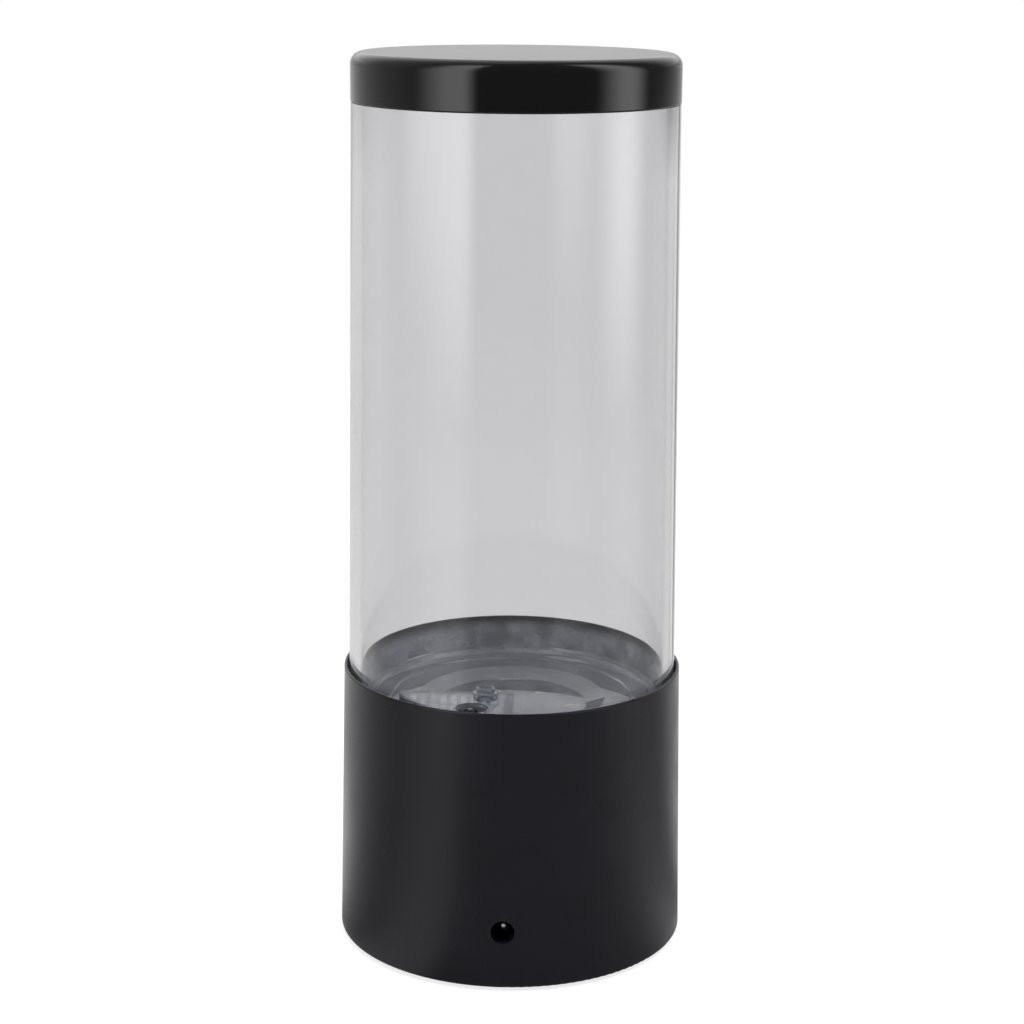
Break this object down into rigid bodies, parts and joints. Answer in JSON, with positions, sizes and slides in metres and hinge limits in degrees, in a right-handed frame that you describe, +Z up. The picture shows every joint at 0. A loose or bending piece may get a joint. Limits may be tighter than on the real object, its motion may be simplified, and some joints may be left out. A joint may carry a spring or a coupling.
{
  "type": "jellyfish lamp",
  "caption": "Cylindrical jellyfish lamp: clear water tank on a black base, lid that lifts off, magnetic pump and lights under the tank floor.",
  "frame": {"origin": "centre of the underside of the four feet", "axes": "+Z up along the tank, -Y from the tank's axis towards the power socket"},
  "size_m": [0.09, 0.09, 0.2287],
  "materials": {
    "black_satin": "satin moulded black",
    "black_gloss": "polished black",
    "black_matte": "matt moulded black",
    "clear_acrylic": "clear, faintly grey",
    "rubber_black": "matt",
    "silicone": "soft translucent white",
    "screw_steel": "zinc plated",
    "shaft_steel": "ground",
    "can_steel": "drawn and plated",
    "magnet_nickel": "nickel plated",
    "ferrite": "dark sintered",
    "copper_winding": "enamelled copper wire",
    "bush_brass": "turned",
    "white_nylon": "natural nylon",
    "board_white": "white solder mask",
    "board_green": "green solder mask",
    "led_yellow": "lamp package with its lens",
    "chip_black": "matt moulded",
    "capacitor_can": "satin can",
    "jack_black": "moulded",
    "contact_nickel": "bright nickel",
    "lead_red": "insulated wire",
    "lead_white": "insulated wire"
  },
  "bodies": {
    "base": {"base_shell": "black_satin", "bottom_cover": "black_satin", "rubber_feet": "rubber_black", "cover_screws": "screw_steel", "tank_tray": "black_matte", "tray_screws": "screw_steel", "tank_gasket": "silicone", "tank_floor": "clear_acrylic", "tank_tube": "clear_acrylic", "pump_cover": "clear_acrylic", "impeller_shaft": "shaft_steel", "motor_can": "can_steel", "motor_magnets": "ferrite", "motor_end_cap": "white_nylon", "motor_bushes": "bush_brass", "motor_cradle": "black_matte", "cradle_screws": "screw_steel", "led_board": "board_white", "leds": "led_yellow", "led_board_screws": "screw_steel", "control_board": "board_green", "driver_chip": "chip_black", "capacitor": "capacitor_can", "wire_connectors": "white_nylon", "board_screws": "screw_steel", "dc_jack": "jack_black", "dc_jack_pin": "contact_nickel", "dc_jack_contact": "contact_nickel", "motor_leads": "lead_red", "led_leads": "lead_white"},
    "lid": {"lid": "black_gloss", "lid_seal": "silicone"},
    "motor_rotor": {"motor_shaft": "shaft_steel", "motor_armature": "copper_winding", "drive_hub": "black_matte", "drive_magnets": "magnet_nickel"},
    "impeller": {"impeller": "black_matte", "impeller_magnets": "magnet_nickel"}
  },
  "joints": [
    {"name": "lid_lift", "type": "slide", "parent": "base", "child": "lid", "axis": [0, 0, 1], "range_m": [0, 0.03]},
    {"name": "motor_spin", "type": "hinge", "parent": "base", "child": "motor_rotor", "pos_m": [-0.00952, -0.01961, 0.05], "axis": [0, 0, 1], "continuous": true},
    {"name": "impeller_spin", "type": "hinge", "parent": "base", "child": "impeller", "pos_m": [-0.00952, -0.01961, 0.063], "axis": [0, 0, 1], "continuous": true}
  ],
  "couplings": [
    {"joint": "impeller_spin", "follows": "motor_spin", "ratio": 1}
  ]
}
